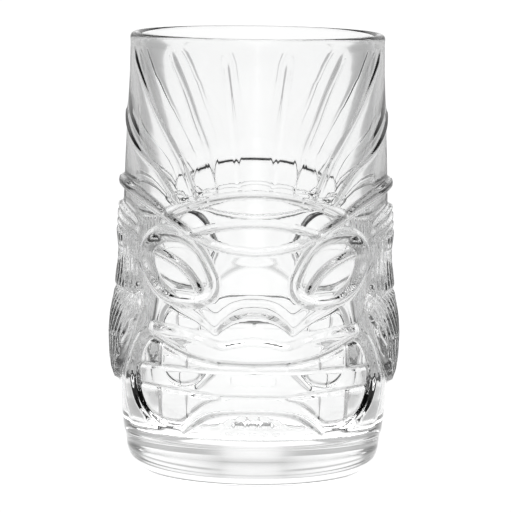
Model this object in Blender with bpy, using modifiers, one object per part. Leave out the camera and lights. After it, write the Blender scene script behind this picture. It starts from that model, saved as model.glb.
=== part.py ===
"""Tiki tumbler: one piece of clear pressed glass, 130 mm tall, with the same mask on its front and its back.

The wall is a turned blank with a thick floor and a plain round foot. The mask is pressed into its outside, so the
blank is turned first and each point of its outer wall is then moved in or out by the mask's height there.

Places on the mask are (arc, height) in millimetres: arc runs round the wall from the middle of the face, and height
runs up from the table. The mask is the same left and right, and the same front and back, so one quarter says it all.
"""

import math

import bmesh
import bpy
import numpy as np

MM = 0.001

# The blank, in millimetres.
HEIGHT = 130.0
RIM_ROUND = 1.4
FLOOR_HEIGHT = 14.0
FLOOR_CORNER = 5.0
FOOT_TOP = 12.6
FOOT_RADIUS = 38.2
FOOT_ROUND = 9.5
FOOT_TAPER = 0.8
RECESS_RADIUS = 22.0
RECESS_DEPTH = 0.8
STEPS = 250
FACE_ROW = 1.2
FAN_ROW = 2.4
CURVE_RUNS = 5
TRIANGLES = 9600
FLAT_WITHIN = 0.05
OUTSIDE = 36.0
FAN_BOTTOM = 90.0
FAN_TOP = 126.0

# Radius of the blank's wall at some heights, as (height, radius), inside and outside.
INNER_WALL = [(19, 32.6), (60, 34.7), (94, 35.3), (128.6, 34.6)]
WALL = [(13.4, 38.3), (22, 39.3), (28, 39.7), (45, 39.6), (60, 39.4), (76, 39.1), (94, 38.5), (110, 37.75),
        (118, 37.45), (126, 37.32)]

# The mask. Arcs are measured at FACE_RADIUS.
FACE_RADIUS = 38.5
SIDE = FACE_RADIUS * math.pi / 2

# Ridges of the headdress, from the crest to the rim.
RAYS = [
    [(4.4, 87.6), (9.9, 126.6)],
    [(11.4, 86.6), (18, 106.4), (28.5, 126.2)],
    [(17.5, 84.6), (30, 104), (49.7, 126)],
    [(23.5, 82.5), (31.6, 91.3), (43.1, 97.3), (SIDE, 106.6)],
]
RAY_HEIGHT = [0.34, 0.42, 0.58, 0.68]
RAY_SPREAD = 2.4
RAY_START = (80, 84)
RAY_FADE = (121.5, 126.4)

# Headband with its crest arch over the forehead, the raised field over the band, and the eye-shaped panel under it.
# An arch is highest at the middle, and falls with the square of the arc.
CREST_TOP = 86.2
CREST_FALL = 0.0096
CREST_REACH = 26.0
CREST_HEIGHT = 1.2
CREST_HALF = 1.9
BAND_WIDTH = 2.9
BAND_HEIGHT = 0.95
BAND_END = (20, 26)
FIELD_HEIGHT = 0.8
FIELD_FADE = 13.0
PANEL_TOP = 77.4
PANEL_FALL = 0.0099
PANEL_REACH = 18.3
PANEL_BOTTOM = (70, 71.5)
PANEL_DEPTH = 0.45

# Brow band, a flat V from side to side.
BROW = [(0, 69.3), (13, 71.2), (20, 74.6), (27.6, 78.6), (39.6, 83.8), (SIDE, 86.5)]
BROW_HALF = [(0, 1.2), (25, 1.6), (SIDE, 1.9)]
BROW_HEIGHT = [(0, 1.25), (12, 1.3), (25, 1.4), (40, 1.6), (SIDE, 1.6)]

# Eye: a round rim, a socket with an eyeball, and a slanting lid.
EYE = [(37.6, 66), (31.5, 73.6), (20.5, 73.2), (12.9, 65), (12.2, 56.6), (21, 54.4), (31.5, 58)]
EYE_RIM_HEIGHT = 0.95
EYE_RIM_WIDTH = 1.9
SOCKET_DEPTH = 1.9
SOCKET_WALL = (0.6, 2.7)
LID = [(33, 67.7), (27.6, 66.8), (20, 63.1), (16.4, 57.8)]
LID_HEIGHT = 1.2
LID_HALF = 1.6
EYEBALL = (24.0, 62.0)
EYEBALL_SIZE = (11.0, 7.6)
EYEBALL_HEIGHT = 1.4

# Nose: half the bridge's width and how far it stands out, each at some heights, and the lower edge with its roll.
NOSE_HALF = [(44, 9), (50, 11.2), (60, 9.6), (70, 13)]
NOSE_HEIGHT = [(44.5, 0.7), (50, 1.2), (54, 1.5), (60, 1.3), (66, 0.8), (69.5, 0.1)]
NOSE_TOP = (68.5, 70)
NOSE_EDGE = [(0, 51.6), (6, 50.2), (10.2, 46.6), (11.4, 46.5), (15.5, 49.6), (22, 52.5), (26, 53.6)]
NOSE_FALL = (-1.3, 1.5)
ROLL_HEIGHT = 0.6
ROLL_FADE = (1.5, 5.5)
ROLL_END = (19, 26)

# Upper lip, mouth opening, two rows of teeth with grooves between them, lower lip, and jaw.
LIP_TOP = [(0, 43.7), (9.1, 42.4), (21.5, 45.6), (31.3, 46.6)]
LIP_LOW = [(0, 37.4), (11.3, 37.8), (20.7, 39.9), (31.3, 44)]
LIP_TOP_EDGE = (-1.2, 1.3)
LIP_LOW_EDGE = (-0.5, 0.8)
LIP_END = (30.5, 33.5)
LIP_HEIGHT = 0.9
LIP_SLANT = 0.5
MOUTH = [(0, 37.4), (11.3, 37.8), (20.7, 39.9), (30.9, 43.7), (38.3, 39.6), (39.9, 28.5), (34.4, 20.3), (22.6, 17.8),
         (15.9, 22), (6, 25.5)]
MOUTH_DEPTH = 1.35
MOUTH_WALL = 1.4
TEETH_HEIGHT = 0.9
TEETH_EDGE = (1.0, 2.6)
TOOTH_PITCH = 2 * math.pi * FACE_RADIUS / 25
UPPER_TEETH_END = 34.8
LOWER_TEETH_END = 28.2
GROOVE_HALF = 1.0
GROOVE_DEPTH = 0.5
LOWER_LIP = [(0, 23.8), (11.9, 22.6), (20.6, 17.2)]
LOWER_LIP_HEIGHT = 1.25
LOWER_LIP_HALF = (1.4, 2.6)
JAW = [(0, 47.5), (28, 47.6), (38, 45.4), (44.8, 37.7), (49.7, 26.9), (45, 15), (30, 14), (0, 14)]
JAW_HEIGHT = [(14, 0.1), (20, 0.5), (30, 0.75), (40, 0.9), (47, 0.5)]
JAW_INNER_EDGE = (0, 2)
JAW_OUTER_EDGE = (0, 4.2)
JAW_START = (17, 26)

# Hair at each side, and how far it stands out at some heights.
HAIR = [(SIDE, 80.5), (44.5, 78.2), (38, 71), (37.4, 56), (36.4, 51), (43.4, 39.5), (53, 29), (SIDE, 27)]
HAIR_HEIGHT = [(27, 1.1), (31, 2.5), (42, 3.5), (47, 3.2), (54, 2.1), (58, 1.7), (63, 1.2), (67, 1.2), (71, 1.8),
               (80, 1.5)]
HAIR_EDGE = (-0.2, 2)

# The mask starts just over the foot.
MASK_START = (13.5, 15.6)


def read(pairs, at):
    """The value that the pairs (place, value) give at each place."""
    places, values = zip(*pairs)
    return np.interp(at, places, values)


def ramp(value, low, high):
    """0 below low, 1 above high and a smooth step between them."""
    share = np.clip((value - low) / (high - low), 0, 1)
    return share * share * (3 - 2 * share)


def bead(distance, half):
    """The section of a rounded ridge, 1 at its middle and 0 beyond its half width."""
    return np.clip(1 - (distance / half) ** 2, 0, 1)


def dome(arc, height, middle, size):
    """A rounded mound over an oval."""
    reach = np.hypot((arc - middle[0]) / size[0], (height - middle[1]) / size[1])
    return np.clip(1 - reach**2, 0, 1)


def both_sides(half, middle=0.0):
    """A line over half of a symmetric shape, carried on over the other half."""
    other = [(2 * middle - arc, height) for arc, height in reversed(half)]
    return [point for point in other if abs(point[0] - middle) > 0.01] + list(half)


def curve(points, closed=False):
    """A smooth line through a few points (Catmull-Rom), as short straight runs."""
    at = np.array(points, float)
    before, after = (at[-1:], at[:2]) if closed else (2 * at[:1] - at[1:2], 2 * at[-1:] - at[-2:-1])
    at = np.vstack([before, at, after])
    t = np.arange(CURVE_RUNS)[:, None] / CURVE_RUNS
    runs = [b + t * (c - a) / 2 + t**2 * (a - 2.5 * b + 2 * c - d / 2) + t**3 * (1.5 * (b - c) + (d - a) / 2)
            for a, b, c, d in zip(at, at[1:], at[2:], at[3:])]
    line = np.vstack(runs)
    return line if closed else np.vstack([line, at[-2:-1]])


def line_distance(arc, height, line):
    """How far each place is from a line of straight runs."""
    nearest = np.full(arc.shape, np.inf)
    for (a, b), (c, d) in zip(line, line[1:]):
        share = ((arc - a) * (c - a) + (height - b) * (d - b)) / ((c - a) ** 2 + (d - b) ** 2)
        share = np.clip(share, 0, 1)
        nearest = np.minimum(nearest, np.hypot(arc - a - share * (c - a), height - b - share * (d - b)))
    return nearest


def depth_inside(arc, height, loop):
    """How far each place is inside a closed outline; outside it the depth is negative."""
    inside = np.zeros(arc.shape, bool)
    closed = np.vstack([loop, loop[:1]])
    for (a, b), (c, d) in zip(closed, closed[1:]):
        if b != d:
            inside ^= ((b > height) != (d > height)) & (arc < a + (height - b) * (c - a) / (d - b))
    distance = line_distance(arc, height, closed)
    return np.where(inside, distance, -distance)


def headdress(arc, height):
    """Rays that fan out over the forehead, each a sharp ridge with hollow flanks."""
    relief = np.zeros(arc.shape)
    for ray, top in zip(RAYS, RAY_HEIGHT):
        distance = line_distance(arc, height, curve(ray))
        relief = np.maximum(relief, top * np.exp(-distance / RAY_SPREAD))
    return relief * ramp(height, *RAY_START) * (1 - ramp(height, *RAY_FADE))


def forehead(arc, height):
    """Headband with its crest arch and raised field, and the sunk eye-shaped panel between it and the brow."""
    arch = CREST_TOP - CREST_FALL * arc**2
    above = height - arch - BAND_WIDTH
    share = ramp(above, -0.5, 0.5)
    band = BAND_HEIGHT * (1 - share) + FIELD_HEIGHT * share * np.clip(1 - above / FIELD_FADE, 0, 1)
    band *= ramp(height, arch - 0.5, arch + 0.5) * (1 - ramp(arc, *BAND_END))
    crest = CREST_HEIGHT * bead(height - arch, CREST_HALF) * (1 - ramp(arc, CREST_REACH - 1, CREST_REACH + 1))
    crest = np.maximum(crest, band)
    panel_edge = PANEL_TOP - PANEL_FALL * arc**2
    panel = ramp(height, *PANEL_BOTTOM) * (1 - ramp(height, panel_edge - 1.2, panel_edge))
    return crest - PANEL_DEPTH * panel * (1 - ramp(arc, PANEL_REACH - 2, PANEL_REACH))


def brow(arc, height):
    """The V-shaped band between the headdress and the face."""
    return read(BROW_HEIGHT, arc) * bead(height - read(BROW, arc), read(BROW_HALF, arc) + 0.6)


def eye(arc, height):
    """Rim, socket, eyeball and lid."""
    depth = depth_inside(arc, height, curve(EYE, closed=True))
    lid = LID_HEIGHT * bead(line_distance(arc, height, curve(LID)), LID_HALF)
    ball = EYEBALL_HEIGHT * dome(arc, height, EYEBALL, EYEBALL_SIZE)
    return EYE_RIM_HEIGHT * bead(depth, EYE_RIM_WIDTH) + ramp(depth, *SOCKET_WALL) * (ball + lid - SOCKET_DEPTH)


def nose(arc, height):
    """Bridge, and the rolled lower edge of the nose with a nostril at each side."""
    above = height - read(curve(both_sides(NOSE_EDGE)), arc)
    bridge = read(NOSE_HEIGHT, height) * np.clip(1 - (arc / read(NOSE_HALF, height)) ** 2.5, 0, 1)
    roll = ROLL_HEIGHT * (1 - ramp(above, *ROLL_FADE)) * (1 - ramp(arc, *ROLL_END))
    return ramp(above, *NOSE_FALL) * ((1 - ramp(height, *NOSE_TOP)) * bridge + roll)


def teeth(arc, height, depth):
    """Two rows of square teeth, depth inside the mouth's outline."""
    gap = np.abs(arc - TOOTH_PITCH * np.round(arc / TOOTH_PITCH))
    in_row = ramp(height, UPPER_TEETH_END - 0.5, UPPER_TEETH_END)
    in_row += 1 - ramp(height, LOWER_TEETH_END, LOWER_TEETH_END + 0.5)
    ends = np.maximum(bead(height - UPPER_TEETH_END, GROOVE_HALF), bead(height - LOWER_TEETH_END, GROOVE_HALF))
    grooves = np.maximum(ends, in_row * bead(gap, GROOVE_HALF))
    return ramp(depth, *TEETH_EDGE) * (TEETH_HEIGHT - GROOVE_DEPTH * grooves)


def mouth(arc, height):
    """The open mouth with its teeth, and the lips and jaw round it."""
    depth = depth_inside(arc, height, curve(both_sides(MOUTH), closed=True))
    relief = teeth(arc, height, depth) - MOUTH_DEPTH * ramp(depth, 0, MOUTH_WALL)
    jaw = depth_inside(arc, height, curve(both_sides(JAW), closed=True))
    ring = ramp(-depth, *JAW_INNER_EDGE) * ramp(jaw, *JAW_OUTER_EDGE) * ramp(arc, *JAW_START)
    relief += read(JAW_HEIGHT, height) * ring
    top, low = read(LIP_TOP, arc), read(LIP_LOW, arc)
    share = np.clip((height - low) / (top - low), 0, 1)
    upper = ramp(height - low, *LIP_LOW_EDGE) * (1 - ramp(height - top, *LIP_TOP_EDGE))
    relief += upper * (LIP_HEIGHT + LIP_SLANT * share) * (1 - ramp(arc, *LIP_END))
    line = curve(both_sides(LOWER_LIP))
    half = np.where(height > read(line, arc), LOWER_LIP_HALF[1], LOWER_LIP_HALF[0])
    return relief + LOWER_LIP_HEIGHT * bead(line_distance(arc, height, line), half)


def hair(arc, height):
    """The raised panel at the side that carries the strands."""
    depth = depth_inside(arc, height, curve(both_sides(HAIR, SIDE), closed=True))
    return read(HAIR_HEIGHT, height) * ramp(depth, *HAIR_EDGE)


def mask(arc, height):
    """How far the mask stands out of the blank, in millimetres."""
    relief = headdress(arc, height) + forehead(arc, height) + brow(arc, height)
    relief += eye(arc, height) + nose(arc, height) + mouth(arc, height) + hair(arc, height)
    return relief * ramp(height, *MASK_START)


def rounded(middle, radius, start, end, count):
    """Points of a round edge, between two angles in degrees from +X."""
    angles = [math.radians(start + (end - start) * i / count) for i in range(count + 1)]
    return [(middle[0] + radius * math.cos(a), middle[1] + radius * math.sin(a)) for a in angles]


def rows(low, high, spacing):
    """Evenly spread heights from high down to low, both included."""
    count = max(1, round((high - low) / spacing))
    return [high + (low - high) * i / count for i in range(count + 1)]


def blank_profile():
    """Half section of the blank as (radius, height), from the floor's middle over the rim to the underside."""
    (_, floor_radius), (_, rim_radius) = INNER_WALL[0], INNER_WALL[-1]
    corner = (floor_radius - FLOOR_CORNER, FLOOR_HEIGHT + FLOOR_CORNER)
    inside = [(0, FLOOR_HEIGHT)] + rounded(corner, FLOOR_CORNER, -90, 0, 3)
    inside += [(radius, height) for height, radius in curve(INNER_WALL)[1:-1].tolist()]
    lip = rounded((rim_radius + RIM_ROUND, HEIGHT - RIM_ROUND), RIM_ROUND, 180, 0, 4)
    heights = rows(FAN_BOTTOM, FAN_TOP, FAN_ROW) + rows(WALL[0][0], FAN_BOTTOM, FACE_ROW)[1:]
    wall = [(read(WALL, height), height) for height in heights]
    foot_corner = (FOOT_RADIUS - FOOT_TAPER - FOOT_ROUND, FOOT_ROUND)
    foot = [(FOOT_RADIUS - 0.2, FOOT_TOP)] + rounded(foot_corner, FOOT_ROUND, 0, -90, 5)
    underside = [(RECESS_RADIUS, 0), (RECESS_RADIUS - RECESS_DEPTH, RECESS_DEPTH), (0, RECESS_DEPTH)]
    return inside + lip + wall + foot + underside


def modified(mesh, kind, **settings):
    """The mesh that a modifier makes of another mesh, which is removed."""
    guide = bpy.data.objects.new("guide", mesh)
    bpy.context.scene.collection.objects.link(guide)
    modifier = guide.modifiers.new(kind.title(), kind)
    for name, value in settings.items():
        setattr(modifier, name, value)
    result = bpy.data.meshes.new_from_object(guide.evaluated_get(bpy.context.evaluated_depsgraph_get()))
    bpy.data.objects.remove(guide)
    bpy.data.meshes.remove(mesh)
    return result


def turn_blank():
    """The blank, turned from its half section."""
    profile = bpy.data.meshes.new("profile")
    points = [(radius * MM, 0, height * MM) for radius, height in blank_profile()]
    profile.from_pydata(points, [(i, i + 1) for i in range(len(points) - 1)], [])
    return modified(profile, "SCREW", steps=STEPS, render_steps=STEPS, use_merge_vertices=True,
                    merge_threshold=0.00001)


def press_mask(mesh):
    """Moves the outer wall's points in or out by the mask's height, front and back alike."""
    bm = bmesh.new()
    bm.from_mesh(mesh)
    wall = [v for v in bm.verts if math.hypot(v.co.x, v.co.y) > OUTSIDE * MM
            and FOOT_TOP * MM < v.co.z < (FAN_TOP + 0.1) * MM]
    places = np.array([v.co for v in wall], float) / MM
    arcs = FACE_RADIUS * np.arctan2(np.abs(places[:, 0]), np.abs(places[:, 1]))
    for vertex, out in zip(wall, mask(arcs, places[:, 2])):
        radius = math.hypot(vertex.co.x, vertex.co.y)
        vertex.co.x *= 1 + out * MM / radius
        vertex.co.y *= 1 + out * MM / radius
    bm.to_mesh(mesh)
    bm.free()


def thin(mesh):
    """The same surface in fewer triangles, small ones only where it bends, standing flat on the table."""
    triangles = sum(len(face.vertices) - 2 for face in mesh.polygons)
    result = modified(mesh, "DECIMATE", ratio=TRIANGLES / triangles)
    for vertex in result.vertices:
        if abs(vertex.co.z) < FLAT_WITHIN * MM:
            vertex.co.z = 0
        vertex.co.z = min(vertex.co.z, HEIGHT * MM)
    return result


def clear_glass():
    """Clear soda-lime glass."""
    material = bpy.data.materials.new("clear_glass")
    material.use_nodes = True
    shader = material.node_tree.nodes["Principled BSDF"]
    shader.inputs["Base Color"].default_value = (0.93, 0.96, 0.96, 1)
    shader.inputs["Metallic"].default_value = 0.0
    shader.inputs["Roughness"].default_value = 0.03
    shader.inputs["IOR"].default_value = 1.52
    shader.inputs["Transmission Weight"].default_value = 1.0
    return material


def main():
    for old in list(bpy.data.objects):
        bpy.data.objects.remove(old, do_unlink=True)
    collection = bpy.data.collections.new("tiki_tumbler")
    bpy.context.scene.collection.children.link(collection)
    mesh = turn_blank()
    press_mask(mesh)
    mesh = thin(mesh)
    mesh.name = "glass_tumbler"
    mesh.materials.append(clear_glass())
    mesh.shade_smooth()
    glass = bpy.data.objects.new("glass_tumbler", mesh)
    collection.objects.link(glass)


main()
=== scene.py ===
"""Tiki tumbler in clear pressed glass: the finished surface, its material, and a bright-field studio.

The glass is one continuous piece, so the visible model is one closed mesh: a turned blank whose outer wall carries
the mask. Places on the mask are (arc, height) in millimetres, as in the CAD: arc runs round the wall from the middle
of the face, height runs up from the table, and one quarter repeats left and right, front and back.

A pair named for an edge, a start or an end says where a smooth step begins and where it is complete.
"""

import math

import bpy
import numpy as np
from mathutils import Euler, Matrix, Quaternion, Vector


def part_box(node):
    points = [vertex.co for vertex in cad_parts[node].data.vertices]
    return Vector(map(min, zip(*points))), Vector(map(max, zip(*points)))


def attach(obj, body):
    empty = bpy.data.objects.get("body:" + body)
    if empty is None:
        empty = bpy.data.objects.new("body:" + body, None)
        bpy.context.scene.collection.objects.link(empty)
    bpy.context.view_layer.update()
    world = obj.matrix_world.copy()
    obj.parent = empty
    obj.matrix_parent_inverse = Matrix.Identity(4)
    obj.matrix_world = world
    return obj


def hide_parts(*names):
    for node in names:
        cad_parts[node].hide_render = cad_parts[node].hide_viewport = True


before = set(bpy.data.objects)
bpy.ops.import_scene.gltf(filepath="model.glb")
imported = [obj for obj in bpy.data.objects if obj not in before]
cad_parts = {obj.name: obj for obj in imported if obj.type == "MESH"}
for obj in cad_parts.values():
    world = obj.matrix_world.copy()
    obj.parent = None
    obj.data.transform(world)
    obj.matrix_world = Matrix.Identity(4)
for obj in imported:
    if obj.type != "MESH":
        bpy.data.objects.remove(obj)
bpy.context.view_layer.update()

MM = 0.001

# The blank, in millimetres. Walls are (height, radius).
low_corner, high_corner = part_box("glass_tumbler")
HEIGHT = (high_corner[2] - low_corner[2]) / MM
RIM_ROUND = 1.4
RIM_ROUND_STEPS = 14
RIM_NECK = (37.37, 127.5)
INNER_WALL = [(19, 32.6), (35, 33.6), (60, 34.7), (80, 35.2), (94, 35.3), (110, 35.0), (128.6, 34.6)]
FLOOR_HEIGHT = 14.0
FLOOR_RINGS = (9, 18)
FLOOR_CORNER = 5.0
FLOOR_CORNER_STEPS = 10
FOOT_TOP = 12.6
FOOT_RADIUS = 38.2
FOOT_SHOULDER = [(0.05, 13.0), (-0.2, FOOT_TOP), (-0.5, 11.4)]
FOOT_TAPER = 0.8
FOOT_ROUND = 9.5
FOOT_ROUND_STEPS = 14
RECESS_RADIUS = 22.0
RECESS_DEPTH = 0.8
RECESS_EDGE = [(3, 0), (0, 0), (-0.5, 0.15), (-1.2, 0.6), (-2, RECESS_DEPTH)]
RECESS_RINGS = (12, 6)
WALL = [(13.4, 38.3), (22, 39.3), (28, 39.7), (45, 39.6), (60, 39.4), (76, 39.1), (94, 38.5), (110, 37.75),
        (118, 37.45), (126.4, 37.32)]

# Fineness of the mesh: rows of points on the face, across the headband's lobes and on the fan above them.
LOBES_LOW = 83.0
LOBES_TOP = 92.0
FAN_TOP = 126.4
COLUMNS = 720
FACE_ROW = 0.42
FAN_ROW = 0.5
LOBE_ROW = 0.3
CURVE_RUNS = 8
SAME_PLACE = 0.01

# The mask. Arcs are measured at FACE_RADIUS, and SIDE is the arc at the middle of the glass's side.
FACE_RADIUS = 38.5
SIDE = FACE_RADIUS * math.pi / 2
MASK_EDGE = (FOOT_TOP + 0.7, FOOT_TOP + 2.6)
OUTSIDE = 35.5
MASK_TOP = 127

# Ridges of the headdress, from the crest to the rim.
RAYS = [
    [(4.4, 87.6), (6.2, 101), (8.0, 114), (9.9, 126.6)],
    [(11.4, 86.6), (14.3, 98), (18.0, 106.4), (21.9, 115), (28.5, 126.2)],
    [(17.5, 84.6), (22.2, 93.7), (30.0, 104), (39.2, 114.8), (49.7, 126)],
    [(23.5, 82.5), (31.6, 91.3), (43.1, 97.3), (SIDE, 106.6)],
]
RAY_HEIGHT = [0.20, 0.24, 0.30, 0.34]
RAY_HALF = 1.2
RAY_FLANK = [0.14, 0.18, 0.28, 0.34]
RAY_SPREAD = 2.4
RAY_START = (80, 84)
RAY_END = (121.5, 126.8)

# Headband: crest arch, lobes as (start, end, rise), the raised field above them, and the eye-shaped panel below.
CREST_TOP = 86.2
CREST_FALL = 0.0096
CREST_REACH = 26.5
CREST_HEIGHT = 1.2
CREST_HALF = 1.35
CREST_POINTS = 41
BAND_HEIGHT = 0.95
BAND_END = (20, 26)
BAND_FOOT = 0.5
LOBES = [(-4.4, 4.4, 3.2), (4.4, 11.4, 2.7), (11.4, 17.5, 2.2), (17.5, 23.5, 1.8)]
LOBE_EDGE = 0.45
NOTCH = 0.9
FIELD_HEIGHT = 0.85
FIELD_FADE = 13.0
PANEL_TOP = 77.4
PANEL_FALL = 0.0099
PANEL_REACH = 18.3
PANEL_RIM_HEIGHT = 0.75
PANEL_RIM_HALF = 1.0
PANEL_POINTS = 31
PANEL_DEPTH = 0.45
PANEL_LOW_EDGE = (-0.2, 0.6)
PANEL_TOP_EDGE = (-1, -0.2)
PANEL_END = (PANEL_REACH - 1.3, PANEL_REACH + 0.7)
CRESCENT_DEPTH = 0.25
CRESCENT_LOW_EDGE = (0.2, 1)
CRESCENT_TOP_EDGE = (-1.4, -0.4)
FOREHEAD_LOW = 66

# The V-shaped band of the brow.
BROW_UPPER = [(0, 70), (7, 70.6), (12, 71.7), (16.6, 73.6), (23, 77.4), (27.6, 80), (33, 83), (39.6, 85.5),
              (50, 87.4), (SIDE, 88.2)]
BROW_LOWER = [(0, 68.4), (7, 69), (13.2, 70.6), (19.7, 73.6), (25, 76.4), (30, 78.8), (36, 81), (44, 83),
              (52, 84.4), (SIDE, 84.8)]
BROW_HEIGHT = [(0, 1.25), (12, 1.3), (25, 1.4), (40, 1.6), (SIDE, 1.6)]
BROW_MARGIN = 0.15
BROW_FLATNESS = 2.6
BROW_ROUND = 0.8

# The eye: outline of its rim, the lid's line and the eyeball.
EYE = [(37.6, 66.0), (36.2, 70.3), (31.5, 73.6), (25.5, 74.2), (20.5, 73.2), (16.4, 70.2), (12.9, 65.0),
       (11.1, 60.2), (12.2, 56.6), (16.0, 54.6), (21.0, 54.4), (26.5, 55.2), (31.5, 58.0), (35.3, 62.0)]
EYE_RIM_HEIGHT = 0.95
EYE_RIM_HALF = 1.5
SOCKET_START = 0.6
SOCKET_WALL = 2.2
SOCKET_DEPTH = 1.9
LID = [(33.0, 67.7), (31.0, 67.5), (27.6, 66.8), (23.4, 65.3), (20.0, 63.1), (17.6, 60.3), (16.4, 57.8)]
LID_HEIGHT = 1.5
LID_HALF = 1.2
EYEBALL = (24.0, 62.0)
EYEBALL_SIZE = (11.0, 7.6)
EYEBALL_HEIGHT = 1.4

# The nose: half width and height of the bridge at some heights, and its lower edge.
NOSE_HALF = [(44, 9.0), (46, 10.5), (50, 11.2), (54, 10.2), (60, 9.6), (66, 10.4), (70, 13.0)]
NOSE_HEIGHT = [(44.5, 0.7), (47, 0.9), (50, 1.2), (54, 1.5), (60, 1.3), (66, 0.8), (69.5, 0.1)]
NOSE_EDGE = [(0, 51.6), (3, 51.3), (6, 50.2), (8.6, 48.3), (10.2, 46.6), (11.4, 46.5), (13, 47.7), (15.5, 49.6),
             (18.5, 51.2), (22, 52.5), (26, 53.6)]
NOSE_SPREAD = 1.15
NOSE_LOW_EDGE = (-1.3, 1.5)
NOSE_TOP_EDGE = (68.5, 70)
NOSE_ROLL = 5.5
ROLL_HEIGHT = 0.6
ROLL_END = (19, 26)

# The mouth: lips, teeth, the jaw round them and the fan of the chin.
LIP_TOP = [(0, 43.7), (4.5, 43.2), (9.1, 42.4), (15.7, 44.3), (21.5, 45.6), (26, 46.2), (31.3, 46.6)]
LIP_LOW = [(0, 37.4), (5.5, 37.5), (11.3, 37.8), (17.4, 39.0), (20.7, 39.9), (25.7, 41.6), (30.9, 43.9),
           (33.6, 44.9)]
LIP_HEIGHT = 0.9
LIP_SLANT = 0.5
LIP_LOW_EDGE = (-0.4, 0.5)
LIP_TOP_EDGE = (-1.2, 1.3)
LIP_END = (30.5, 33.5)
MOUTH = [(0, 37.4), (5.5, 37.5), (11.3, 37.8), (17.4, 39.0), (20.7, 39.9), (25.7, 41.6), (30.9, 43.7), (34.6, 43.2),
         (38.3, 39.6), (40.3, 34.0), (39.9, 28.5), (38.2, 24.0), (34.4, 20.3), (28.9, 18.0), (22.6, 17.8),
         (19.6, 18.7), (15.9, 22.0), (11.9, 24.4), (6.0, 25.5), (0, 25.6)]
MOUTH_DEPTH = 1.35
MOUTH_WALL = 1.5
TEETH_ROUND_GLASS = 25
TOOTH_PITCH = 2 * math.pi * FACE_RADIUS / TEETH_ROUND_GLASS
TOOTH_HEIGHT = 0.9
TOOTH_WALL = (0.9, 2.3)
ROW_EDGE = (-0.2, 0.3)
PILLOW = 0.35
PILLOW_EDGE = (0, 1.5)
GROOVE_HALF = 0.55
GROOVE_DEPTH = 0.6
GROOVE_WALL = (0.8, 1.6)
UPPER_TEETH_END = [(0, 34.9), (15, 34.9), (27, 34.8), (36, 34.4)]
LOWER_TEETH_END = [(0, 27.4), (9, 27.4), (27, 28.6), (40, 28.9)]
JAW = [(0, 47.5), (28, 47.6), (34, 47.4), (38, 45.4), (41, 42.4), (44.8, 37.7), (48.6, 31.3), (49.7, 26.9),
       (48.6, 21.0), (45, 15.0), (36, 14.2), (20, 14.0), (0, 14.0)]
JAW_HEIGHT = [(14, 0.1), (20, 0.5), (30, 0.75), (40, 0.9), (47, 0.5)]
JAW_INNER_WALL = 2.0
JAW_OUTER_WALL = 4.2
JAW_START = (17, 26)
CHIN_PITCH = 3.3
CHIN_HEIGHT = 0.55
CHIN_GROOVE_HALF = 0.75
CHIN_END = (8.6, 10.0)
CHIN_TOP = [(0, 22.2), (4, 21.6), (7, 20.6), (10.5, 18.6)]
CHIN_TOP_EDGE = (-0.9, 0.2)
CHIN_LOW_EDGE = (16.0, 17.4)
LOWER_LIP = [(0, 23.8), (6, 23.6), (11.9, 22.6), (16, 20.3), (20.6, 16.9)]
LOWER_LIP_HEIGHT = 1.25
LOWER_LIP_HALF_ABOVE = 2.6
LOWER_LIP_HALF_BELOW = 1.1
LOWER_LIP_REACH = 21.5

# The hair: outline and height of its panel, and its three tiers of strands. The top tier runs across, the middle
# one hangs straight, and the lower one sweeps outwards. A kink lies between each two.
HAIR = [(SIDE, 80.5), (52, 80.0), (44.5, 78.2), (39.8, 75.6), (38.0, 71), (37.2, 63), (37.4, 56), (36.4, 51.0),
        (39.6, 46.0), (43.4, 39.5), (48.2, 33.2), (53, 29.0), (57, 27.4), (SIDE, 27.0)]
HAIR_HEIGHT = [(27, 1.1), (29, 1.8), (31, 2.5), (35, 3.1), (42, 3.4), (47, 3.1), (50, 2.6), (54, 1.9), (58, 1.7),
               (63, 1.1), (67, 1.15), (71, 1.7), (75, 1.7), (80, 1.4)]
HAIR_WALL = (-0.1, 0.9)
HAIR_EDGE = 37.0
STRAND_PITCH = 2.8
STRAND_DEPTH = 0.85
STRAND_SINK = 0.35
TOP_SLOPE = 0.19
MIDDLE_WAVE = 0.55
MIDDLE_WAVE_START = 55
MIDDLE_WAVE_TURN = 0.42
SWEEP = 14.5
SWEEP_START = 56
SWEEP_RUN = 13
LOWER_WAVE = 0.25
LOWER_WAVE_TURN = 0.7
UPPER_KINK = 70.6
UPPER_KINK_SLOPE = 0.10
UPPER_KINK_WIDTH = 0.8
LOWER_KINK = (54.6, 55.6)
KINK_DEPTH = 0.35
KINK_HALF = 1.2


def read(pairs, at):
    """The value that the pairs (place, value) give at each place."""
    places, values = zip(*pairs)
    return np.interp(at, places, values)


def ramp(value, low, high):
    """0 below low, 1 above high and a smooth step between them."""
    share = np.clip((value - low) / (high - low), 0, 1)
    return share * share * (3 - 2 * share)


def bead(distance, half):
    """The section of a rounded ridge, 1 at its middle and 0 beyond its half width."""
    return np.clip(1 - (distance / half) ** 2, 0, 1) ** 1.5


def dome(arc, height, middle, size):
    """A rounded mound over an oval."""
    reach = np.hypot((arc - middle[0]) / size[0], (height - middle[1]) / size[1])
    return np.clip(1 - reach**2, 0, 1)


def both_sides(half, middle=0.0):
    """A line over half of a symmetric shape, carried on over the other half."""
    other = [(2 * middle - arc, height) for arc, height in reversed(half)]
    return [point for point in other if abs(point[0] - middle) > SAME_PLACE] + list(half)


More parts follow.
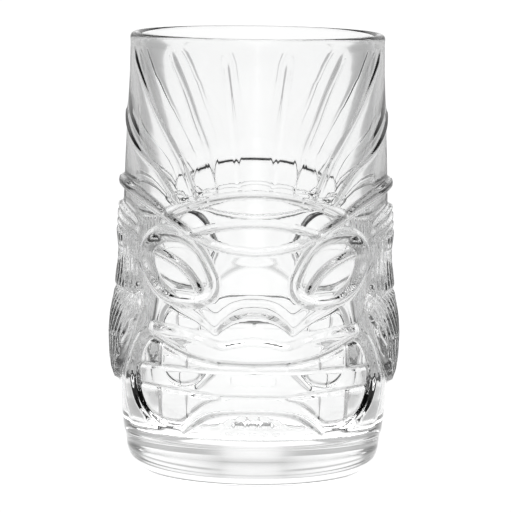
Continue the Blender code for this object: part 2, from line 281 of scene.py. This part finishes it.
def curve(points, closed=False):
    """A smooth line through a few points (Catmull-Rom), as short straight runs."""
    at = np.array(points, float)
    before, after = (at[-1:], at[:2]) if closed else (2 * at[:1] - at[1:2], 2 * at[-1:] - at[-2:-1])
    at = np.vstack([before, at, after])
    t = np.arange(CURVE_RUNS)[:, None] / CURVE_RUNS
    runs = [b + t * (c - a) / 2 + t**2 * (a - 2.5 * b + 2 * c - d / 2) + t**3 * (1.5 * (b - c) + (d - a) / 2)
            for a, b, c, d in zip(at, at[1:], at[2:], at[3:])]
    line = np.vstack(runs)
    return line if closed else np.vstack([line, at[-2:-1]])


def line_distance(arc, height, line):
    """How far each place is from a line of straight runs."""
    nearest = np.full(arc.shape, np.inf)
    for (a, b), (c, d) in zip(line, line[1:]):
        share = ((arc - a) * (c - a) + (height - b) * (d - b)) / ((c - a) ** 2 + (d - b) ** 2)
        share = np.clip(share, 0, 1)
        nearest = np.minimum(nearest, np.hypot(arc - a - share * (c - a), height - b - share * (d - b)))
    return nearest


def depth_inside(arc, height, loop):
    """How far each place is inside a closed outline; outside it the depth is negative."""
    inside = np.zeros(arc.shape, bool)
    closed = np.vstack([loop, loop[:1]])
    for (a, b), (c, d) in zip(closed, closed[1:]):
        if b != d:
            inside ^= ((b > height) != (d > height)) & (arc < a + (height - b) * (c - a) / (d - b))
    distance = line_distance(arc, height, closed)
    return np.where(inside, distance, -distance)


def arch_line(top, fall, reach, count):
    """Points of a flat arch over the middle of the face."""
    places = np.linspace(-reach, reach, count)
    return np.stack([places, top - fall * places**2], 1)


def headdress(arc, height):
    """Rays that fan out over the forehead, each a sharp ridge with hollow flanks."""
    relief = np.zeros(arc.shape)
    for ray, crown, flank in zip(RAYS, RAY_HEIGHT, RAY_FLANK):
        distance = line_distance(arc, height, curve(ray))
        ridge = crown * bead(distance, RAY_HALF) + flank / (1 + (distance / RAY_SPREAD) ** 2)
        relief = np.maximum(relief, ridge)
    return relief * ramp(height, *RAY_START) * (1 - ramp(height, *RAY_END))


def forehead(arc, height):
    """Crest arch, scalloped headband, the field above it, and the sunk eye-shaped panel above the brow."""
    arch = CREST_TOP - CREST_FALL * arc**2
    top = arch.copy()
    for start, end, rise in LOBES:
        lobe = np.sqrt(np.clip(1 - (2 * (arc - start) / (end - start) - 1) ** 2, 0, 1))
        top = np.where((arc >= start) & (arc < end), arch + rise - NOTCH * (1 - lobe), top)
    field = FIELD_HEIGHT * np.clip(1 - (height - top) / FIELD_FADE, 0, 1)
    above = ramp(height, top - LOBE_EDGE, top + LOBE_EDGE)
    band = (BAND_HEIGHT * (1 - above) + field * above) * ramp(height, arch - BAND_FOOT, arch + BAND_FOOT)
    relief = band * (1 - ramp(arc, *BAND_END))
    crest = arch_line(CREST_TOP, CREST_FALL, CREST_REACH, CREST_POINTS)
    relief = np.maximum(relief, CREST_HEIGHT * bead(line_distance(arc, height, crest), CREST_HALF))
    rim = arch_line(PANEL_TOP, PANEL_FALL, PANEL_REACH, PANEL_POINTS)
    relief += PANEL_RIM_HEIGHT * bead(line_distance(arc, height, rim), PANEL_RIM_HALF)
    over_brow = height - read(BROW_UPPER, arc)
    over_rim = height - (PANEL_TOP - PANEL_FALL * arc**2)
    panel = ramp(over_brow, *PANEL_LOW_EDGE) * (1 - ramp(over_rim, *PANEL_TOP_EDGE))
    relief -= PANEL_DEPTH * panel * (1 - ramp(arc, *PANEL_END))
    crescent = ramp(over_rim, *CRESCENT_LOW_EDGE) * (1 - ramp(height - arch, *CRESCENT_TOP_EDGE))
    relief -= CRESCENT_DEPTH * crescent * (1 - ramp(arc, *BAND_END))
    return relief * (height > FOREHEAD_LOW)


def brow(arc, height):
    """The V-shaped band between the headdress and the face."""
    upper, lower = read(BROW_UPPER, arc), read(BROW_LOWER, arc)
    across = np.abs(height - (upper + lower) / 2) / ((upper - lower) / 2 + BROW_MARGIN)
    return read(BROW_HEIGHT, arc) * np.clip(1 - across**BROW_FLATNESS, 0, 1) ** BROW_ROUND


def eye(arc, height):
    """Rim, socket, eyeball and lid."""
    depth = depth_inside(arc, height, curve(EYE, closed=True))
    socket = np.clip((depth - SOCKET_START) / SOCKET_WALL, 0, 1)
    ball = EYEBALL_HEIGHT * dome(arc, height, EYEBALL, EYEBALL_SIZE)
    lid = LID_HEIGHT * bead(line_distance(arc, height, curve(LID)), LID_HALF)
    return EYE_RIM_HEIGHT * bead(depth, EYE_RIM_HALF) + socket * (ball + lid - SOCKET_DEPTH)


def nose(arc, height):
    """Bridge, and the rolled lower edge of the nose with a nostril at each side."""
    bridge = read(NOSE_HEIGHT, height) * bead(arc, NOSE_SPREAD * read(NOSE_HALF, height))
    above = height - read(curve(both_sides(NOSE_EDGE)), arc)
    edge = ramp(above, *NOSE_LOW_EDGE)
    roll = edge * (1 - ramp(above, NOSE_LOW_EDGE[1], NOSE_ROLL)) * (1 - ramp(arc, *ROLL_END))
    return edge * (1 - ramp(height, *NOSE_TOP_EDGE)) * bridge + ROLL_HEIGHT * roll


def teeth(arc, height, depth):
    """Two rows of square teeth, depth inside the mouth's outline, with thin grooves between them."""
    gap = np.abs(arc - TOOTH_PITCH * np.round(arc / TOOTH_PITCH))
    upper, lower = height - read(UPPER_TEETH_END, arc), read(LOWER_TEETH_END, arc) - height
    between = bead(gap, GROOVE_HALF) * (ramp(upper, *ROW_EDGE) + ramp(lower, *ROW_EDGE))
    groove = np.maximum(between, np.maximum(bead(upper, GROOVE_HALF), bead(lower, GROOVE_HALF)))
    pillow = PILLOW * (1 - (1 - 2 * gap / TOOTH_PITCH) ** 2) * (ramp(upper, *PILLOW_EDGE) + ramp(lower, *PILLOW_EDGE))
    return (TOOTH_HEIGHT + pillow) * ramp(depth, *TOOTH_WALL) - GROOVE_DEPTH * groove * ramp(depth, *GROOVE_WALL)


def chin(arc, height):
    """The small fan of lobes under the lower lip."""
    lobe = 1 - bead(np.abs(arc - CHIN_PITCH * np.round(arc / CHIN_PITCH)) - CHIN_PITCH / 2, CHIN_GROOVE_HALF)
    shell = ramp(height, *CHIN_LOW_EDGE) * (1 - ramp(height - read(CHIN_TOP, arc), *CHIN_TOP_EDGE))
    return CHIN_HEIGHT * lobe * shell * (1 - ramp(arc, *CHIN_END))


def mouth(arc, height):
    """The open mouth with its teeth, and the lips and jaw round it."""
    depth = depth_inside(arc, height, curve(both_sides(MOUTH), closed=True))
    relief = teeth(arc, height, depth) - MOUTH_DEPTH * ramp(depth, 0, MOUTH_WALL)
    jaw = depth_inside(arc, height, curve(both_sides(JAW), closed=True))
    ring = ramp(-depth, 0, JAW_INNER_WALL) * ramp(jaw, 0, JAW_OUTER_WALL)
    relief += read(JAW_HEIGHT, height) * ring * ramp(arc, *JAW_START)
    top, low = read(curve(both_sides(LIP_TOP)), arc), read(curve(both_sides(LIP_LOW)), arc)
    share = np.clip((height - low) / (top - low), 0, 1)
    inside = ramp(height - low, *LIP_LOW_EDGE) * (1 - ramp(height - top, *LIP_TOP_EDGE))
    relief += inside * (LIP_HEIGHT + LIP_SLANT * share) * (1 - ramp(arc, *LIP_END))
    lip = curve(both_sides(LOWER_LIP))
    half = np.where(height > read(lip, arc), LOWER_LIP_HALF_ABOVE, LOWER_LIP_HALF_BELOW)
    relief += LOWER_LIP_HEIGHT * bead(line_distance(arc, height, lip), half) * (arc < LOWER_LIP_REACH)
    return relief


def hair(arc, height):
    """The raised panel at the side, its strands in three tiers with a kink between each two."""
    depth = depth_inside(arc, height, curve(both_sides(HAIR, SIDE), closed=True))
    across = arc - HAIR_EDGE
    top_tier = height - TOP_SLOPE * across
    middle_tier = across + MIDDLE_WAVE * np.sin((height - MIDDLE_WAVE_START) * MIDDLE_WAVE_TURN)
    sweep = SWEEP * (1 - np.exp(-np.maximum(SWEEP_START - height, 0) / SWEEP_RUN))
    lower_tier = across - sweep + LOWER_WAVE * np.sin(height * LOWER_WAVE_TURN)
    over_kink = height - (UPPER_KINK + UPPER_KINK_SLOPE * across)
    in_top = ramp(over_kink, 0, UPPER_KINK_WIDTH)
    in_lower = 1 - ramp(height, *LOWER_KINK)
    tiers = [(in_top, top_tier), ((1 - in_top) * (1 - in_lower), middle_tier), (in_lower, lower_tier)]
    strands = sum(share * np.cos(2 * math.pi * tier / STRAND_PITCH) for share, tier in tiers)
    kinks = bead(over_kink - UPPER_KINK_WIDTH / 2, KINK_HALF) + bead(height - sum(LOWER_KINK) / 2, KINK_HALF)
    panel = read(HAIR_HEIGHT, height) - STRAND_SINK + STRAND_DEPTH * strands / 2 - KINK_DEPTH * kinks
    return ramp(depth, *HAIR_WALL) * panel


def mask(arc, height):
    """How far the mask stands out of the blank, in millimetres."""
    relief = headdress(arc, height) + forehead(arc, height) + brow(arc, height) + eye(arc, height)
    relief += nose(arc, height) + mouth(arc, height) + chin(arc, height) + hair(arc, height)
    return relief * ramp(height, *MASK_EDGE)


def rounded(middle, radius, start, end, count):
    """Points of a round edge, between two angles in degrees from +X."""
    angles = [math.radians(start + (end - start) * i / count) for i in range(count + 1)]
    return [(middle[0] + radius * math.cos(a), middle[1] + radius * math.sin(a)) for a in angles]


def rows(low, high, spacing):
    """Evenly spread heights from high down to low, both included."""
    count = max(1, round((high - low) / spacing))
    return [high + (low - high) * i / count for i in range(count + 1)]


def blank_profile():
    """Half section of the blank as (radius, height), without its two points on the axis."""
    (_, floor_radius), (_, rim_radius) = INNER_WALL[0], INNER_WALL[-1]
    corner = (floor_radius - FLOOR_CORNER, FLOOR_HEIGHT + FLOOR_CORNER)
    inside = [(radius, FLOOR_HEIGHT) for radius in FLOOR_RINGS]
    inside += rounded(corner, FLOOR_CORNER, -90, 0, FLOOR_CORNER_STEPS)
    inside += [(radius, height) for height, radius in curve(INNER_WALL)[1:-1].tolist()]
    lip = rounded((rim_radius + RIM_ROUND, HEIGHT - RIM_ROUND), RIM_ROUND, 180, 0, RIM_ROUND_STEPS) + [RIM_NECK]
    heights = rows(LOBES_TOP, FAN_TOP, FAN_ROW) + rows(LOBES_LOW, LOBES_TOP, LOBE_ROW)[1:]
    heights += rows(WALL[0][0], LOBES_LOW, FACE_ROW)[1:]
    wall = [(float(read(WALL, height)), height) for height in heights]
    foot = [(FOOT_RADIUS + step, height) for step, height in FOOT_SHOULDER]
    foot += rounded((FOOT_RADIUS - FOOT_TAPER - FOOT_ROUND, FOOT_ROUND), FOOT_ROUND, 0, -90, FOOT_ROUND_STEPS)
    underside = [(RECESS_RADIUS + step, height) for step, height in RECESS_EDGE]
    underside += [(radius, RECESS_DEPTH) for radius in RECESS_RINGS]
    return inside + lip + wall + foot + underside


def glass_mesh():
    """The blank turned through a full circle, its outer wall moved by the mask, as one closed mesh."""
    profile = np.array(blank_profile())
    radius, height = profile[:, :1], profile[:, 1:]
    turn = np.arange(COLUMNS)[None, :] * 2 * math.pi / COLUMNS
    quarter = COLUMNS // 4
    column = np.arange(COLUMNS) % (2 * quarter)
    column = np.minimum(column, 2 * quarter - column)
    arc = np.broadcast_to(np.arange(quarter + 1) * SIDE / quarter, (len(profile), quarter + 1))
    high = np.broadcast_to(height, arc.shape)
    outer = (radius[:, 0] > OUTSIDE) & (height[:, 0] > FOOT_TOP) & (height[:, 0] < MASK_TOP)
    out = np.zeros(arc.shape)
    out[outer] = mask(arc[outer], high[outer])
    out = out[:, column]
    high = np.broadcast_to(height, out.shape)
    reach = radius + out
    points = np.stack([reach * np.sin(turn), -reach * np.cos(turn), high], -1).reshape(-1, 3) * MM
    index = np.arange(len(profile) * COLUMNS).reshape(len(profile), COLUMNS)
    after = np.roll(index, -1, axis=1)
    quads = np.stack([index[:-1], index[1:], after[1:], after[:-1]], -1).reshape(-1, 4)
    floor_point, under_point = len(points), len(points) + 1
    points = np.vstack([points, [(0, 0, FLOOR_HEIGHT * MM), (0, 0, RECESS_DEPTH * MM)]])
    caps = [(int(index[0, i]), int(after[0, i]), floor_point) for i in range(COLUMNS)]
    caps += [(int(after[-1, i]), int(index[-1, i]), under_point) for i in range(COLUMNS)]
    mesh = bpy.data.meshes.new("pressed_glass")
    mesh.from_pydata(points.tolist(), [], quads.tolist() + caps)
    mesh.shade_smooth()
    return mesh


# The glass's looks.
GLASS_TINT = (0.985, 0.988, 0.987, 1)
GLASS_INDEX = 1.52
RIPPLE_SCALE = 110
RIPPLE_DETAIL = 2
RIPPLE_STRENGTH = 0.03
RIPPLE_DEPTH = 0.0005
ROUGHEST = 0.02


def glass_material():
    """Clear soda-lime glass, fire-polished, with the faint ripple that a cast-iron mould leaves."""
    material = bpy.data.materials.new("clear_pressed_glass")
    material.use_nodes = True
    nodes, links = material.node_tree.nodes, material.node_tree.links
    shader = nodes["Principled BSDF"]
    shader.inputs["Base Color"].default_value = GLASS_TINT
    shader.inputs["IOR"].default_value = GLASS_INDEX
    shader.inputs["Transmission Weight"].default_value = 1.0
    place = nodes.new("ShaderNodeTexCoord")
    ripple = nodes.new("ShaderNodeTexNoise")
    ripple.inputs["Scale"].default_value = RIPPLE_SCALE
    ripple.inputs["Detail"].default_value = RIPPLE_DETAIL
    links.new(place.outputs["Object"], ripple.inputs["Vector"])
    bump = nodes.new("ShaderNodeBump")
    bump.inputs["Strength"].default_value = RIPPLE_STRENGTH
    bump.inputs["Distance"].default_value = RIPPLE_DEPTH
    links.new(ripple.outputs["Fac"], bump.inputs["Height"])
    links.new(bump.outputs["Normal"], shader.inputs["Normal"])
    polish = nodes.new("ShaderNodeMapRange")
    polish.inputs["To Max"].default_value = ROUGHEST
    links.new(ripple.outputs["Fac"], polish.inputs["Value"])
    links.new(polish.outputs["Result"], shader.inputs["Roughness"])
    return material


def make_glass():
    """The visible tumbler, which stands for the CAD node."""
    glass = bpy.data.objects.new("tumbler", glass_mesh())
    glass.data.materials.append(glass_material())
    bpy.context.scene.collection.objects.link(glass)
    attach(glass, "root")
    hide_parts("glass_tumbler")


# The camera, in metres, and its lens in millimetres.
CAMERA_DISTANCE = 1.10
CAMERA_HEIGHT = 0.192
CAMERA_ROLL = math.radians(0.75)
CAMERA_NEAREST = 0.05
AIM_HEIGHT = 0.0639
AIM_SIDE = 0.0003
LENS = 263.5
SENSOR = 36

# The table, in metres. Its painted glow is emission of the table itself with no lamp under it, and follows (distance
# aside / distance from where the glow starts, brightness).
TABLE_HALF = 8
TABLE_FRONT = -4
TABLE_BACK = 12
PAPER_GREY = (0.8, 0.8, 0.8, 1)
PAPER_ROUGHNESS = 0.9
GLOW_START = 1.15
GLOW_NEAREST = 0.05
TABLE_PAINTED_GLOW = [(0.0, 0.965), (0.067, 0.935), (0.078, 0.66), (0.10, 0.42), (0.15, 0.36), (0.26, 0.52), (0.45, 0.45),
              (0.9, 0.15)]

# The room's brightness by angle in radians: TURN is how far round from straight behind the glass, RISE how far up.
# The room's light is the product of its two, and the side lamps' light is the product of theirs.
TURN_GLOW = [(0.0, 1.0), (0.10, 0.94), (0.2, 0.66), (0.34, 0.52), (0.55, 0.55), (0.8, 0.45), (1.2, 0.25),
             (math.pi, 0.2)]
RISE_GLOW = [(0.0, 1.0), (0.12, 0.97), (0.35, 0.8), (0.6, 0.4), (0.9, 0.2), (math.pi / 2, 0.15)]
LAMP_TURN = [(0.0, 0.0), (0.12, 0.05), (0.4, 0.5), (0.8, 0.5), (1.0, 0.0), (math.pi, 0.0)]
LAMP_RISE = [(0.0, 0.0), (0.11, 0.0), (0.16, 1.0), (0.4, 1.0), (0.5, 0.0), (math.pi / 2, 0.0)]


def math_node(nodes, links, operation, first, second):
    """A Math node of two inputs, each a socket or a number."""
    node = nodes.new("ShaderNodeMath")
    node.operation = operation
    for socket, value in zip(node.inputs, (first, second)):
        if isinstance(value, (int, float)):
            socket.default_value = value
        else:
            links.new(value, socket)
    return node.outputs["Value"]


def fade(nodes, links, value, stops):
    """A smooth brightness that follows the stops (value, brightness)."""
    level_curve = nodes.new("ShaderNodeFloatCurve")
    points = level_curve.mapping.curves[0].points
    widest = stops[-1][0]
    while len(points) < len(stops):
        points.new(0.5, 0.5)
    for point, (place, level) in zip(points, stops):
        point.location = (place / widest, level)
    level_curve.mapping.update()
    links.new(math_node(nodes, links, "DIVIDE", value, widest), level_curve.inputs["Value"])
    return level_curve.outputs["Value"]


def table_material():
    """Matt white with a painted glow: the table itself emits light, strongest along the middle behind the glass and
    fading to its sides, with no lamp under it.
    """
    material = bpy.data.materials.new("white_paper_painted_glow")
    material.use_nodes = True
    nodes, links = material.node_tree.nodes, material.node_tree.links
    shader = nodes["Principled BSDF"]
    shader.inputs["Base Color"].default_value = PAPER_GREY
    shader.inputs["Roughness"].default_value = PAPER_ROUGHNESS
    shader.inputs["Emission Color"].default_value = (1, 1, 1, 1)
    place = nodes.new("ShaderNodeTexCoord")
    split = nodes.new("ShaderNodeSeparateXYZ")
    links.new(place.outputs["Object"], split.inputs["Vector"])
    aside = math_node(nodes, links, "ABSOLUTE", split.outputs["X"], 0)
    along = math_node(nodes, links, "ADD", split.outputs["Y"], GLOW_START)
    along = math_node(nodes, links, "MAXIMUM", along, GLOW_NEAREST)
    spread = math_node(nodes, links, "DIVIDE", aside, along)
    spread = math_node(nodes, links, "MINIMUM", spread, TABLE_PAINTED_GLOW[-1][0])
    # Painted light: the table's own emission, bright in a wedge that opens from just in front of the glass, near
    # where the camera stands.
    links.new(fade(nodes, links, spread, TABLE_PAINTED_GLOW), shader.inputs["Emission Strength"])
    return material


def make_table():
    """A large white table with a painted glow behind the glass."""
    mesh = bpy.data.meshes.new("table")
    corners = [(-TABLE_HALF, TABLE_FRONT, 0), (TABLE_HALF, TABLE_FRONT, 0), (TABLE_HALF, TABLE_BACK, 0),
               (-TABLE_HALF, TABLE_BACK, 0)]
    mesh.from_pydata(corners, [], [(0, 1, 2, 3)])
    mesh.materials.append(table_material())
    table = bpy.data.objects.new("table", mesh)
    bpy.context.scene.collection.objects.link(table)


def make_room():
    """Light from all round: bright behind the glass, with a lamp at each side of it, and dim elsewhere."""
    world = bpy.data.worlds.new("studio")
    world.use_nodes = True
    nodes, links = world.node_tree.nodes, world.node_tree.links
    place = nodes.new("ShaderNodeTexCoord")
    split = nodes.new("ShaderNodeSeparateXYZ")
    links.new(place.outputs["Generated"], split.inputs["Vector"])
    aside = math_node(nodes, links, "ABSOLUTE", split.outputs["X"], 0)
    turn = math_node(nodes, links, "ARCTAN2", aside, split.outputs["Y"])
    rise = math_node(nodes, links, "ARCSINE", split.outputs["Z"], 0)
    rise = math_node(nodes, links, "MAXIMUM", rise, 0)
    room, lamps = [
        math_node(nodes, links, "MULTIPLY", fade(nodes, links, turn, by_turn), fade(nodes, links, rise, by_rise))
        for by_turn, by_rise in [(TURN_GLOW, RISE_GLOW), (LAMP_TURN, LAMP_RISE)]
    ]
    glow = math_node(nodes, links, "ADD", room, lamps)
    background = nodes["Background"]
    background.inputs["Color"].default_value = (1, 1, 1, 1)
    links.new(glow, background.inputs["Strength"])
    bpy.context.scene.world = world
    bpy.context.scene.view_settings.view_transform = "Standard"


def make_camera():
    """A long lens in front of the face, a little above the rim and looking slightly down."""
    data = bpy.data.cameras.new("camera")
    data.lens = LENS
    data.sensor_width = SENSOR
    data.clip_start = CAMERA_NEAREST
    camera = bpy.data.objects.new("camera", data)
    camera.location = (AIM_SIDE, -CAMERA_DISTANCE, CAMERA_HEIGHT)
    tilt = math.atan2(CAMERA_HEIGHT - AIM_HEIGHT, CAMERA_DISTANCE)
    camera.rotation_mode = "QUATERNION"
    look = Euler((math.pi / 2 - tilt, 0, 0)).to_quaternion()
    camera.rotation_quaternion = look @ Quaternion((0, 0, 1), CAMERA_ROLL)
    bpy.context.scene.collection.objects.link(camera)
    bpy.context.scene.camera = camera


make_camera()
make_glass()
make_table()
make_room()
